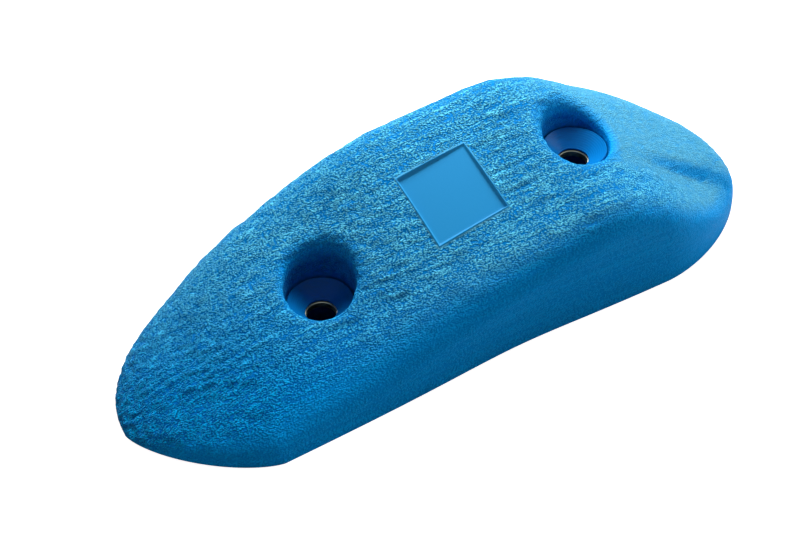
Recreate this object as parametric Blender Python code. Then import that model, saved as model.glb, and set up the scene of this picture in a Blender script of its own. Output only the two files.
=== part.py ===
"""Screw-on climbing hold: a moulded polyurethane body with a flat back and two countersunk screw seats.

Each seat is a smooth conical cup on a steel washer, both set in a stepped bore at the bottom of a round well.
Units are metres. The back lies on z = 0 with the origin midway between the two screws. +X runs along the
hold from its low nose to its blunt tail, -Y is the steep front side and +Z points away from the wall.
"""
import math

import bmesh
import bpy
import numpy as np

# Screws and what seats them
SCREW_SPACING = 0.0627
NEAR_SEAT_HEIGHT = 0.0120
FAR_SEAT_HEIGHT = 0.0264
WASHER_HOLE = 0.0062
WASHER_DIAMETER = 0.0120
WASHER_THICKNESS = 0.0014
CUP_DIAMETER = 0.0140
CUP_HEIGHT = 0.0034
CONE_MOUTH = 0.0134
CONE_DEPTH = 0.0031
CUP_RIM_ROUND = 0.0004
WASHER_SHOW = 0.00025
SHANK_HOLE = 0.0070
CLEARANCE = 0.0003

# Wells that lead down to the seats. Where the top lies low, the lip stops a land's height over the seat
WELL_TAPER = 0.0002
NEAR_LIP_RADIUS = 0.0021
FAR_LIP_RADIUS = 0.0030
LIP_LAND = 0.0003

# Outline of the back: reach of each side from the origin, and the runs over which it closes at the ends
NOSE_REACH = 0.0768
TAIL_REACH = 0.0781
FRONT_REACH = 0.0246
FRONT_SLANT = 0.005
BACK_REACH = 0.0351
NOSE_TIP_Y = -0.0024
TAIL_TIP_Y = -0.0012
WIDEST_X = 0.0110
NOSE_FRONT_RUN = 0.0243
TAIL_FRONT_RUN = 0.0353
NOSE_FRONT_FULLNESS = 1.38
NOSE_BACK_FULLNESS = 2.29
TAIL_FRONT_FULLNESS = 1.67
TAIL_BACK_FULLNESS = 1.6
WAIST_X = 0.0037
WAIST_DEPTH = 0.0021
WAIST_LENGTH = 0.0263

# Guide curves along the hold, for the front shoulder and for the crown behind the screws. Each point gives a
# share of the nose reach (negative) or of the tail reach (positive), and a share of the curve's greatest height
SHOULDER_HEIGHT = 0.0235
SHOULDER_GUIDE = ((-1.00, 0.13), (-0.78, 0.21), (-0.58, 0.32), (-0.39, 0.35), (-0.20, 0.54), (0.00, 0.74),
                  (0.21, 0.905), (0.40, 1.00), (0.52, 0.86), (0.65, 0.59), (0.78, 0.415), (0.90, 0.31),
                  (1.00, 0.235))
CROWN_HEIGHT = 0.0402
CROWN_GUIDE = ((-1.00, 0.09), (-0.86, 0.21), (-0.73, 0.37), (-0.56, 0.555), (-0.39, 0.70), (-0.20, 0.85),
               (0.00, 0.92), (0.13, 0.945), (0.28, 1.00), (0.40, 0.95), (0.52, 0.83), (0.61, 0.755),
               (0.70, 0.655), (0.79, 0.545), (0.86, 0.455), (0.93, 0.32), (1.00, 0.16))
NOSE_ROUND = 0.0110
TAIL_ROUND = 0.0095
NOSE_DOME = 0.0200
TAIL_DOME = 0.0140
DOME_HEIGHT_SHARE = 0.92
FRONT_DRAFT = 0.10
BACK_DRAFT = 0.36
FRONT_HOLLOW_SHARE = 0.045
CROWN_ROUND = 0.0115

# Sizes that change from the nose half to the tail half, over a run midway: how far the top bulges between
# shoulder and crown, and how far the rounding of the shoulder reaches down the front side and over the top
NOSE_TOP_BULGE = 0.0008
TAIL_TOP_BULGE = 0.0003
NOSE_SHOULDER_DROP = 0.0070
TAIL_SHOULDER_DROP = 0.0058
NOSE_SHOULDER_SPREAD = 0.0120
TAIL_SHOULDER_SPREAD = 0.0075
BLEND_LENGTH = 0.0600

# Scoop in the tail's top: steep towards the crown, gentle towards the front
SCOOP_FROM_TAIL = 0.0180
SCOOP_Y = -0.0106
SCOOP_TURN = math.radians(-8.0)
SCOOP_LENGTH = 0.0110
SCOOP_STEEP = 0.0021
SCOOP_GENTLE = 0.0050
SCOOP_DEPTH = 0.0016

# Square pad pressed into the top between the screws, with sloping walls
PAD_SIDE = 0.0165
PAD_DEPTH = 0.0005
PAD_WALL_WIDTH = 0.0003

# Largest share of its neighbours' length that a draft or a rounding may take where the ends narrow
FRONT_DRAFT_SHARE = 0.2
BACK_DRAFT_SHARE = 0.3
SIDE_ROUND_SHARE = 0.8
SHOULDER_ROUND_SHARE = 0.35
CROWN_ROUND_SHARE = 0.55

# Mesh fineness
STATIONS = 60
END_CROWDING = 0.6
FRONT_ROWS = 5
SHOULDER_ROWS = 7
TOP_ROWS = 17
CROWN_ROWS = 9
BACK_ROWS = 6
PATCH_RINGS = 3
PATCH_MARGIN = 0.0012
LIP_RINGS = 4
RIM_STEPS = 3
TURNED_STEPS = 48
TINY = 1e-9

CUP_RADIUS = CUP_DIAMETER / 2
WELL_RADIUS = CUP_RADIUS + CLEARANCE
SCREWS = {"near": (-SCREW_SPACING / 2, NEAR_SEAT_HEIGHT), "far": (SCREW_SPACING / 2, FAR_SEAT_HEIGHT)}
LIP_RADIUS = {"near": NEAR_LIP_RADIUS, "far": FAR_LIP_RADIUS}


def closing(distance, run, fullness):
    """Share of the full width at a distance from a tip, along a superellipse quarter of the given run."""
    left = 1.0 - min(max(distance / run, 0.0), 1.0)
    return (1.0 - left ** fullness) ** (1.0 / fullness)


def guide_height(guide, height, x):
    """Smooth curve through the guide points, a Hermite cubic with averaged slopes."""
    share = x / (NOSE_REACH if x < 0 else TAIL_REACH)
    places, heights = (np.array(values) for values in zip(*guide))
    heights = heights * height
    slopes = np.gradient(heights, places)
    i = int(np.clip(np.searchsorted(places, share) - 1, 0, len(places) - 2))
    span = places[i + 1] - places[i]
    t = (share - places[i]) / span
    start = (1 + 2 * t) * (1 - t) ** 2 * heights[i] + t * (1 - t) ** 2 * span * slopes[i]
    return start + t * t * (3 - 2 * t) * heights[i + 1] + t * t * (t - 1) * span * slopes[i + 1]


def front_edge(x):
    """Y of the foot of the front side, with its shallow waist."""
    waist = WAIST_DEPTH / (1 + ((x - WAIST_X) / WAIST_LENGTH) ** 2)
    straight = waist - FRONT_REACH + FRONT_SLANT * x
    if x < WIDEST_X:
        share = closing(x + NOSE_REACH, NOSE_FRONT_RUN, NOSE_FRONT_FULLNESS)
        return NOSE_TIP_Y + (straight - NOSE_TIP_Y) * share
    share = closing(TAIL_REACH - x, TAIL_FRONT_RUN, TAIL_FRONT_FULLNESS)
    return TAIL_TIP_Y + (straight - TAIL_TIP_Y) * share


def back_edge(x):
    """Y of the foot of the back side."""
    if x < WIDEST_X:
        share = closing(x + NOSE_REACH, NOSE_REACH + WIDEST_X, NOSE_BACK_FULLNESS)
        return NOSE_TIP_Y + (BACK_REACH - NOSE_TIP_Y) * share
    share = closing(TAIL_REACH - x, TAIL_REACH - WIDEST_X, TAIL_BACK_FULLNESS)
    return TAIL_TIP_Y + (BACK_REACH - TAIL_TIP_Y) * share


def scoop(x, y):
    """Depth of the tail's scoop over points of the plan."""
    ahead = x - (TAIL_REACH - SCOOP_FROM_TAIL)
    aside = y - SCOOP_Y
    along = ahead * math.cos(SCOOP_TURN) + aside * math.sin(SCOOP_TURN)
    across = aside * math.cos(SCOOP_TURN) - ahead * math.sin(SCOOP_TURN)
    reach = np.where(across > 0, SCOOP_STEEP, SCOOP_GENTLE)
    return SCOOP_DEPTH * np.exp(-((along / SCOOP_LENGTH) ** 2 + (across / reach) ** 2) / 2)


def unit(vector):
    return vector / max(np.linalg.norm(vector), TINY)


def bezier(start, corner, end, count):
    """Points of a quadratic arc that rounds a corner."""
    t = np.linspace(0.0, 1.0, count)[:, None]
    return start * (1 - t) ** 2 + 2 * corner * t * (1 - t) + end * t * t


def run(start, end, count, bow):
    """Points of a straight run between two others, bowed by a height in its middle, without its ends."""
    t = np.linspace(0.0, 1.0, count + 2)[1:-1, None]
    across = unit(np.array([start[1] - end[1], end[0] - start[0]]))
    return start * (1 - t) + end * t + across * bow * 4 * t * (1 - t)


def dome(profile, height):
    """Half ellipse on the same feet as a profile, with its points spread as the profile's are."""
    travel = np.concatenate([[0.0], np.cumsum(np.linalg.norm(np.diff(profile, axis=0), axis=1))])
    turn = math.pi * travel / max(travel[-1], TINY)
    middle, half = (profile[0, 0] + profile[-1, 0]) / 2, (profile[-1, 0] - profile[0, 0]) / 2
    return np.column_stack([middle - half * np.cos(turn), height * np.sin(turn)])


def nose_to_tail(nose_value, tail_value, x):
    """Value at station x of a size that changes smoothly from the nose half to the tail half."""
    share = min(max(x / BLEND_LENGTH + 0.5, 0.0), 1.0)
    return nose_value + (tail_value - nose_value) * share * share * (3 - 2 * share)


def section(x):
    """Outer profile at station x as (y, z) rows, from the front foot over the top to the back foot."""
    rounding = min(closing(x + NOSE_REACH, NOSE_ROUND, 2.0), closing(TAIL_REACH - x, TAIL_ROUND, 2.0))
    front = np.array([front_edge(x), 0.0])
    back = np.array([back_edge(x), 0.0])
    shoulder_z = guide_height(SHOULDER_GUIDE, SHOULDER_HEIGHT, x) * rounding
    crown_z = guide_height(CROWN_GUIDE, CROWN_HEIGHT, x) * rounding
    width = back[0] - front[0]
    shoulder = front + [min(FRONT_DRAFT * shoulder_z, FRONT_DRAFT_SHARE * width), shoulder_z]
    crown = back + [-min(BACK_DRAFT * crown_z, BACK_DRAFT_SHARE * width), crown_z]
    up, over, down = unit(shoulder - front), unit(crown - shoulder), unit(back - crown)
    top = np.linalg.norm(crown - shoulder)
    front_side, back_side = np.linalg.norm(shoulder - front), np.linalg.norm(back - crown)
    bulge = nose_to_tail(NOSE_TOP_BULGE, TAIL_TOP_BULGE, x)
    cut_front = min(nose_to_tail(NOSE_SHOULDER_DROP, TAIL_SHOULDER_DROP, x), SIDE_ROUND_SHARE * front_side)
    cut_top = min(nose_to_tail(NOSE_SHOULDER_SPREAD, TAIL_SHOULDER_SPREAD, x), SHOULDER_ROUND_SHARE * top)
    cut_back = min(CROWN_ROUND, SIDE_ROUND_SHARE * back_side, CROWN_ROUND_SHARE * top)
    arc_front = bezier(shoulder - up * cut_front, shoulder, shoulder + over * cut_top, SHOULDER_ROWS)
    arc_back = bezier(crown - over * cut_back, crown, crown + down * cut_back, CROWN_ROWS)
    hollow = FRONT_HOLLOW_SHARE * np.linalg.norm(arc_front[0] - front)
    profile = np.vstack([front, run(front, arc_front[0], FRONT_ROWS, -hollow), arc_front,
                         run(arc_front[-1], arc_back[0], TOP_ROWS, bulge * rounding), arc_back,
                         run(arc_back[-1], back, BACK_ROWS, 0.0), back])
    fading = np.minimum(profile[:, 1] / shoulder_z, 1.0) * rounding
    profile[:, 1] -= scoop(x, profile[:, 0]) * fading
    to_tip = min((x + NOSE_REACH) / NOSE_DOME, (TAIL_REACH - x) / TAIL_DOME, 1.0)
    domed = (1 - to_tip) ** 2
    return profile * (1 - domed) + dome(profile, DOME_HEIGHT_SHARE * crown_z) * domed


def surface_height(x, y):
    """Height of the outer surface over a point of the plan."""
    profile = section(x)
    return float(np.interp(y, profile[:, 0], profile[:, 1]))


def stations():
    """X of each section, closer together towards the rounded ends."""
    turn = np.linspace(0.0, math.pi, STATIONS)
    even = np.linspace(0.0, 1.0, STATIONS)
    share = END_CROWDING * (1 - np.cos(turn)) / 2 + (1 - END_CROWDING) * even
    return -NOSE_REACH + share * (NOSE_REACH + TAIL_REACH)


class BodyMesh:
    """Vertices and faces of the moulded body, gathered before they become one mesh."""

    def __init__(self):
        self.points = []
        self.faces = []

    def add(self, x, y, z):
        self.points.append((x, y, z))
        return len(self.points) - 1

    def join(self, lower, upper):
        """Quads between two closed rings of equal length."""
        for k in range(len(lower)):
            n = (k + 1) % len(lower)
            self.faces.append((lower[k], lower[n], upper[n], upper[k]))


def lip_reach(side):
    """Radius at which the lip of a well meets the outer surface."""
    return WELL_RADIUS + WELL_TAPER + LIP_RADIUS[side]


def ring_round_screw(grid, xs, sections, side):
    """Index rectangle of the grid that clears a well's lip, and the loop of its rim."""
    centre = SCREWS[side][0]
    reach = lip_reach(side) + PATCH_MARGIN
    columns = [i for i, x in enumerate(xs) if abs(x - centre) < reach]
    first, last = columns[0] - 1, columns[-1] + 1
    rows = [j for i in range(first, last + 1) for j, (y, _) in enumerate(sections[i]) if abs(y) < reach]
    low, high = min(rows) - 1, max(rows) + 1
    loop = [grid[i][low] for i in range(first, last)] + [grid[last][j] for j in range(low, high)]
    loop += [grid[i][high] for i in range(last, first, -1)] + [grid[first][j] for j in range(high, low, -1)]
    return (first, last, low, high), loop


def even_angles(body, loop, centre):
    """Evenly spaced angles round a screw, turned to lie nearest the loop's own."""
    own = np.unwrap([math.atan2(body.points[v][1], body.points[v][0] - centre) for v in loop])
    even = np.arange(len(loop)) * 2 * math.pi / len(loop)
    return even + (own - even).mean()


def add_ring(body, centre, angles, radius, height):
    """Ring of points round a screw; the height is a number or a function of the plan point."""
    ring = []
    for angle in angles:
        x = centre + radius * math.cos(angle)
        y = radius * math.sin(angle)
        ring.append(body.add(x, y, height(x, y) if callable(height) else height))
    return ring


def add_well(body, loop, side):
    """Blend from the grid to a round lip, then the well, the stepped bore and the shank hole."""
    centre, seat_height = SCREWS[side]
    reach = lip_reach(side)
    angles = even_angles(body, loop, centre)
    rings = [loop]
    for k in range(1, PATCH_RINGS + 1):
        share = k / PATCH_RINGS
        ring = []
        for vertex, angle in zip(loop, angles):
            x = body.points[vertex][0] * (1 - share) + (centre + reach * math.cos(angle)) * share
            y = body.points[vertex][1] * (1 - share) + reach * math.sin(angle) * share
            ring.append(body.add(x, y, surface_height(x, y)))
        rings.append(ring)
    for k in range(1, LIP_RINGS + 1):
        turn = k / LIP_RINGS * math.pi / 2
        sunk = 1 - math.cos(turn)

        def lip_height(x, y):
            top = surface_height(x, y)
            return top - min(LIP_RADIUS[side], top - seat_height - LIP_LAND) * sunk

        rings.append(add_ring(body, centre, angles, reach - LIP_RADIUS[side] * math.sin(turn), lip_height))
    ledge = seat_height - CUP_HEIGHT - CLEARANCE
    pocket = WASHER_DIAMETER / 2 + CLEARANCE
    floor = ledge - WASHER_THICKNESS - CLEARANCE
    for radius, height in ((WELL_RADIUS, seat_height), (WELL_RADIUS, ledge), (pocket, ledge), (pocket, floor),
                           (SHANK_HOLE / 2, floor), (SHANK_HOLE / 2, 0.0)):
        rings.append(add_ring(body, centre, angles, radius, height))
    for lower, upper in zip(rings, rings[1:]):
        body.join(lower, upper)


def make_body(material):
    """Moulded body: lofted sections, two wells and a flat back with the screw holes through it."""
    body = BodyMesh()
    xs = stations()[1:-1]
    sections = [section(x) for x in xs]
    grid = [[body.add(x, y, z) for y, z in profile] for x, profile in zip(xs, sections)]
    nose = body.add(-NOSE_REACH, NOSE_TIP_Y, 0.0)
    tail = body.add(TAIL_REACH, TAIL_TIP_Y, 0.0)
    cleared = []
    for side in SCREWS:
        bounds, loop = ring_round_screw(grid, xs, sections, side)
        cleared.append(bounds)
        add_well(body, loop, side)
    rows = len(sections[0])
    for i in range(len(xs) - 1):
        for j in range(rows - 1):
            if not any(a <= i < b and c <= j < d for a, b, c, d in cleared):
                body.faces.append((grid[i][j], grid[i + 1][j], grid[i + 1][j + 1], grid[i][j + 1]))
    for j in range(rows - 1):
        body.faces.append((nose, grid[0][j], grid[0][j + 1]))
        body.faces.append((tail, grid[-1][j + 1], grid[-1][j]))
    mesh = bpy.data.meshes.new("hold_body")
    mesh.from_pydata(body.points, [], body.faces)
    bm = bmesh.new()
    bm.from_mesh(mesh)
    open_edges = [edge for edge in bm.edges if edge.is_boundary]
    bmesh.ops.triangle_fill(bm, use_beauty=True, edges=open_edges, normal=(0.0, 0.0, -1.0))
    bmesh.ops.recalc_face_normals(bm, faces=bm.faces)
    bm.to_mesh(mesh)
    bm.free()
    mesh.shade_smooth()
    mesh.set_sharp_from_angle(angle=math.radians(40))
    return place("hold_body", mesh, material)


def pad_plane():
    """Height at the centre and outward normal of the plane that fits the top at the pad's four corners."""
    half = PAD_SIDE / 2
    left_front, right_front = surface_height(-half, -half), surface_height(half, -half)
    left_back, right_back = surface_height(-half, half), surface_height(half, half)
    slope_x = (right_front + right_back - left_front - left_back) / (2 * PAD_SIDE)
    slope_y = (left_back + right_back - left_front - right_front) / (2 * PAD_SIDE)
    height = (left_front + right_front + left_back + right_back) / 4
    return height, unit(np.array([-slope_x, -slope_y, 1.0]))


def press_pad(body):
    """Sink the square pad: a cutter whose sides lean out, so that the pad's walls slope."""
    height, normal = pad_plane()
    bm = bmesh.new()
    bmesh.ops.create_cube(bm, size=PAD_SIDE)
    lean = PAD_WALL_WIDTH / PAD_DEPTH
    for vertex in bm.verts:
        vertex.co.z += PAD_SIDE / 2 - PAD_DEPTH
        widen = 1 + 2 * lean * vertex.co.z / PAD_SIDE
        vertex.co.x *= widen
        vertex.co.y *= widen
    mesh = bpy.data.meshes.new("pad_cutter")
    bm.to_mesh(mesh)
    bm.free()
    cutter = bpy.data.objects.new("pad_cutter", mesh)
    bpy.context.collection.objects.link(cutter)
    cutter.location = (0.0, 0.0, height)
    cutter.rotation_euler = (math.asin(-normal[1]), math.atan2(normal[0], normal[2]), 0.0)
    cutter.hide_render = True
    cutter.display_type = "WIRE"
    cut = body.modifiers.new("pad", "BOOLEAN")
    cut.operation = "DIFFERENCE"
    cut.solver = "EXACT"
    cut.object = cutter


def lathe(name, profile, centre, material):
    """Closed (radius, height) profile turned round a screw's axis."""
    bm = bmesh.new()
    loop = [bm.verts.new((centre + radius, 0.0, height)) for radius, height in profile]
    edges = [bm.edges.new((a, b)) for a, b in zip(loop, loop[1:] + loop[:1])]
    bmesh.ops.spin(bm, geom=loop + edges, cent=(centre, 0.0, 0.0), axis=(0.0, 0.0, 1.0),
                   angle=2 * math.pi, steps=TURNED_STEPS, use_merge=True)
    bmesh.ops.recalc_face_normals(bm, faces=bm.faces)
    mesh = bpy.data.meshes.new(name)
    bm.to_mesh(mesh)
    bm.free()
    mesh.shade_smooth()
    mesh.set_sharp_from_angle(angle=math.radians(35))
    return place(name, mesh, material)


def make_cup(side, centre, seat_height, material):
    """Smooth conical cup that the screw head draws down on, with a rounded rim."""
    under = seat_height - CUP_HEIGHT
    mouth = CONE_MOUTH / 2
    throat = WASHER_HOLE / 2 + WASHER_SHOW
    profile = [(CUP_RADIUS, under)]
    for turn in np.linspace(0.0, math.pi / 2, RIM_STEPS + 1):
        profile.append((mouth + (CUP_RADIUS - mouth) * math.cos(turn),
                        seat_height - CUP_RIM_ROUND * (1 - math.sin(turn))))
    profile += [(throat, seat_height - CONE_DEPTH), (throat, under)]
    lathe(f"{side}_seat_cup", profile, centre, material)


def make_washer(side, centre, seat_height, material):
    """Flat steel washer under the cup, which carries the screw's pull."""
    top = seat_height - CUP_HEIGHT - CLEARANCE
    inner, outer = WASHER_HOLE / 2, WASHER_DIAMETER / 2
    profile = [(inner, top - WASHER_THICKNESS), (outer, top - WASHER_THICKNESS), (outer, top), (inner, top)]
    lathe(f"{side}_washer", profile, centre, material)


def place(name, mesh, material):
    """Object of one sub-part with its own material."""
    mesh.materials.clear()
    mesh.materials.append(material)
    item = bpy.data.objects.new(name, mesh)
    bpy.context.collection.objects.link(item)
    return item


def finish(name, colour, roughness, metallic):
    """Principled material of one sub-part."""
    material = bpy.data.materials.new(name)
    material.use_nodes = True
    shader = material.node_tree.nodes["Principled BSDF"]
    shader.inputs["Base Color"].default_value = (*colour, 1.0)
    shader.inputs["Roughness"].default_value = roughness
    shader.inputs["Metallic"].default_value = metallic
    return material


def build():
    for item in list(bpy.data.objects):
        bpy.data.objects.remove(item)
    skin = finish("moulded_polyurethane", (0.013, 0.253, 0.597), 0.65, 0.0)
    press_pad(make_body(skin))
    for side, (centre, seat_height) in SCREWS.items():
        smooth = finish(f"{side}_cup_polyurethane", (0.008, 0.162, 0.456), 0.3, 0.0)
        steel = finish(f"{side}_washer_steel", (0.55, 0.53, 0.49), 0.35, 1.0)
        make_cup(side, centre, seat_height, smooth)
        make_washer(side, centre, seat_height, steel)


build()
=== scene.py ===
"""Looks of the screw-on climbing hold: grained cast skin, turned seats, steel washers and a white studio.

The skin repeats the form of the solids at a finer step, so that its relief is real. It adds the pad's raised
lip and a dish behind the near well, sharpens the tail's scoop and slants the front side of the nose half.
Units are metres. The back lies on z = 0, +X runs from the low nose to the blunt tail and -Y is the steep
front side.
"""
import itertools
import math

import bmesh
import bpy
import numpy as np
from mathutils import Matrix, Vector


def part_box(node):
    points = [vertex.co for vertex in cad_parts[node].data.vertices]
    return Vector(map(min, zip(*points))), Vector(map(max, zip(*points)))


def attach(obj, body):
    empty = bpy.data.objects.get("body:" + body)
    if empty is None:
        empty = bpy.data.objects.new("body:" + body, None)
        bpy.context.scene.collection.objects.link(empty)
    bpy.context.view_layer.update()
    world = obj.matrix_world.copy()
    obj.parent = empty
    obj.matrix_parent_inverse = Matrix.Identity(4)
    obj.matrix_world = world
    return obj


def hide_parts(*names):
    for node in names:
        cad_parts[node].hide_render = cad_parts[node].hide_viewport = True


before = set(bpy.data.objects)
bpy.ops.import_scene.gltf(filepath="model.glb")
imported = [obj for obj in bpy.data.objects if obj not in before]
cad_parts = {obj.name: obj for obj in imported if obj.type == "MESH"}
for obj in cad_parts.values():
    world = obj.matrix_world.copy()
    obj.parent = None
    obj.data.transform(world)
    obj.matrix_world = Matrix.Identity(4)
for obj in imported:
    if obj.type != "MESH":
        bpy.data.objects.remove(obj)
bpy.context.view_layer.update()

# Seats and washers. Places and outer sizes are read from the frame. A screw is the x of its axis and the
# height of its seat's rim
CUPS = {side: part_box(f"{side}_seat_cup") for side in ("near", "far")}
WASHERS = {side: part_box(f"{side}_washer") for side in ("near", "far")}
SCREWS = {side: ((low.x + high.x) / 2, high.z) for side, (low, high) in CUPS.items()}
CUP_RADIUS = (CUPS["near"][1].x - CUPS["near"][0].x) / 2
CUP_HEIGHT = CUPS["near"][1].z - CUPS["near"][0].z
WASHER_RADIUS = (WASHERS["near"][1].x - WASHERS["near"][0].x) / 2
WASHER_THICKNESS = WASHERS["near"][1].z - WASHERS["near"][0].z
WASHER_HOLE = 0.0062
WASHER_SHOW = 0.00022
CONE_MOUTH = 0.0134
CONE_DEPTH = 0.0031
CUP_RIM_ROUND = 0.0004
SHANK_HOLE = 0.0070
CLEARANCE = 0.0003
WASHER_EDGE = 0.0001
CUP_RINGS = 9
CUP_RING_DEPTH = 0.00004

# Form of the cast body: the solids' own, but for the nose half's front side and shoulder, the sharper scoop,
# the shallower pad and the dish behind the near well
WELL_RADIUS = CUP_RADIUS + CLEARANCE
WELL_TAPER = 0.0002
LIP_RADIUS = {"near": 0.0021, "far": 0.0030}
LIP_LAND = 0.0003
NOSE_REACH = -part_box("hold_body")[0].x
TAIL_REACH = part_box("hold_body")[1].x
FRONT_REACH = 0.0246
FRONT_SLANT = 0.005
BACK_REACH = 0.0351
NOSE_TIP_Y = -0.0024
TAIL_TIP_Y = -0.0012
WIDEST_X = 0.0110
NOSE_FRONT_RUN = 0.0243
TAIL_FRONT_RUN = 0.0353
NOSE_FRONT_FULLNESS = 1.38
NOSE_BACK_FULLNESS = 2.29
TAIL_FRONT_FULLNESS = 1.67
TAIL_BACK_FULLNESS = 1.6
WAIST_X = 0.0037
WAIST_DEPTH = 0.0021
WAIST_LENGTH = 0.0263
SHOULDER_HEIGHT = 0.0235
SHOULDER_GUIDE = ((-1.00, 0.13), (-0.78, 0.23), (-0.58, 0.37), (-0.39, 0.44), (-0.20, 0.58), (0.00, 0.74),
                  (0.21, 0.905), (0.40, 1.00), (0.52, 0.86), (0.65, 0.59), (0.78, 0.415), (0.90, 0.31),
                  (1.00, 0.235))
CROWN_HEIGHT = 0.0402
CROWN_GUIDE = ((-1.00, 0.09), (-0.86, 0.21), (-0.73, 0.37), (-0.56, 0.555), (-0.39, 0.70), (-0.20, 0.85),
               (0.00, 0.92), (0.13, 0.945), (0.28, 1.00), (0.40, 0.95), (0.52, 0.83), (0.61, 0.755),
               (0.70, 0.655), (0.79, 0.545), (0.86, 0.455), (0.93, 0.32), (1.00, 0.16))
NOSE_ROUND = 0.0110
TAIL_ROUND = 0.0095
NOSE_DOME = 0.0200
TAIL_DOME = 0.0140
DOME_HEIGHT_SHARE = 0.92
ELLIPSE_FULLNESS = 2.0
NOSE_FRONT_DRAFT = 0.42
TAIL_FRONT_DRAFT = 0.10
DRAFT_LEAD = 0.0240
BACK_DRAFT = 0.36
FRONT_HOLLOW_SHARE = 0.045
CROWN_ROUND = 0.0115
NOSE_TOP_BULGE = 0.0008
TAIL_TOP_BULGE = 0.0003
NOSE_SHOULDER_DROP = 0.0060
TAIL_SHOULDER_DROP = 0.0058
NOSE_SHOULDER_SPREAD = 0.0105
TAIL_SHOULDER_SPREAD = 0.0078
BLEND_LENGTH = 0.0600
SCOOP_FROM_TAIL = 0.0180
SCOOP_Y = -0.0106
SCOOP_TURN = math.radians(-8.0)
SCOOP_LENGTH = 0.0110
SCOOP_STEEP = 0.0014
SCOOP_GENTLE = 0.0056
SCOOP_DEPTH = 0.0020
DISH_TURN = math.radians(60.0)
DISH_REACH = 0.0095
DISH_DEPTH = 0.0011
PAD_SIDE = 0.0165
PAD_DEPTH = 0.00034
PAD_WALL_WIDTH = 0.0003
FRONT_DRAFT_SHARE = 0.2
BACK_DRAFT_SHARE = 0.3
SIDE_ROUND_SHARE = 0.8
SHOULDER_ROUND_SHARE = 0.35
CROWN_ROUND_SHARE = 0.55

# The pad's raised lip, which the solids leave out, and the foot of its wall, as shares of the wall's width
# and depth
PAD_LIP_WIDTH = 0.00035
PAD_LIP_HEIGHT = 0.00012
PAD_FOOT = ((0.12, 0.92), (-0.20, 1.00))

# Fineness of the meshes: the skin's points lie about 0.4 mm apart
GRID_STEP = 0.0004
STATIONS = 400
OUTLINE_SAMPLES = 8 * STATIONS
FRONT_ROWS = 36
SHOULDER_ROWS = 17
TOP_ROWS = 76
CROWN_ROWS = 36
BACK_ROWS = 42
PATCH_MARGIN = 0.0008
PATCH_RINGS = 4
LIP_RINGS = 12
PAD_MARGIN = 0.0010
PAD_PATCH_RINGS = 4
PAD_LIP_RINGS = 6
CUP_RIM_POINTS = 7
CUP_RING_POINTS = 4
CUP_SIDES = 160
WASHER_SIDES = 128
SKIN_SHARP_ANGLE = math.radians(60.0)
TURNED_SHARP_ANGLE = math.radians(40.0)
PATTERN_GAP = 0.001
BACK_FACING = -0.99
TINY = 1e-9

# Finishes of the skin's faces, by their place among its materials, and how many rings of a well lie below
# its cup
GRAINED, POLISHED, DRILLED = 0, 1, 2
BORE_RINGS = 4

# Relief of the skin: lumps, coarse grain and furrows along the hold, raised in the mesh
STREAK_TURN = math.radians(-3.0)
RELIEF_FOOT = 0.0006
COARSE_GRAIN_WIDTH = 0.0011
COARSE_GRAIN_HEIGHT = 0.00008
LUMP_WIDTH = 0.0032
LUMP_HEIGHT = 0.00009
FURROW_PITCH = 0.0011
FURROW_LENGTH = 0.0500
FURROW_DEPTH = 0.00034
FURROW_TINT = 0.5
FURROW_SHIFT, COARSE_SHIFT = 7.3, 31.7

# Lattice noise: a factor for each axis, one that stirs their mix, and the gain that brings it to about 1
LATTICE_FACTORS = (73856093, 19349663, 83492791)
LATTICE_STIR = 1274126177
LATTICE_GAIN = 1.5

# Fine grain of the skin's material, a third to half a millimetre wide, in rows along the hold. The weights
# shape the sum of its noises, GRAIN_FROM and GRAIN_TO cut it off, and it fades to the level of GRAIN_REST
GRAIN_LENGTH = 0.00051
GRAIN_WIDTH = 0.00032
GRAIN_HEIGHT = 0.00060
GRAIN_FROM, GRAIN_TO = 0.81, 1.12
GRAIN_REST = 0.38
PORE_WEIGHT = 0.5
CLUMP_WEIGHT, CLUMP_LEVEL = -0.45, 0.74
ROW_PITCH = 0.0009
ROW_LENGTH = 0.0500
ROW_WEIGHT = 0.36

# Sizes in the other finishes
BORE_MOTTLE_WIDTH = 0.0007
SATIN_WIDTH = 0.0004
SATIN_DEPTH = 0.00002
PLATING_WIDTH = 0.0008

# Where the skin is grained, and where its colour is painted paler as light. Both fade on the front side and
# in the wells, and grain fades towards the tail. The low front of the nose and what leans to the front keep
# the deep blue of painted shade
FRONT_GRAIN = 0.30
WALL_GRAIN = 0.35
WALL_GRAIN_FADE = 0.25
# Painted shade on the walls of the wells: how far they are darkened towards navy, and the share of the wall
# over which it comes in
WALL_PAINTED_SHADE = {"near": 0.58, "far": 0.55}
WALL_PAINTED_SHADE_FADE = 1 / 3
NOSE_FADE = 0.0080
TAIL_FADE = 0.0045
FADE_SHARE = 0.6
NOSE_FADE_BELOW = 0.0030
TAIL_FADE_BELOW = 0.0040
TAIL_GRAIN = 0.32
TAIL_FRONT_FROM, TAIL_FRONT_TO = 0.040, 0.059
TAIL_BACK_FROM, TAIL_BACK_TO = 0.020, 0.042
TAIL_SIDE_WIDTH = 0.006
# Painted shade: where the low front of the nose keeps the deep blue
NOSE_DEEP_FROM, NOSE_DEEP_TO = -0.075, -0.010
NOSE_DEEP_SLANT = 1.5
# Painted shade where the surface leans to the front, between these two leans
SHADE_LEAN_FROM, SHADE_LEAN_TO = 0.48, 0.88

# Camera: a 55 mm lens on the photograph's 800 x 533 frame
CAMERA_PLACE = (-0.1055, -0.1567, 0.1939)
CAMERA_AIM = (-0.00607, 0.01062, 0.0)
LENS_MM = 55.035
SENSOR_MM = 36.0
NEAREST_SEEN, FARTHEST_SEEN = 0.01, 20.0

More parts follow.
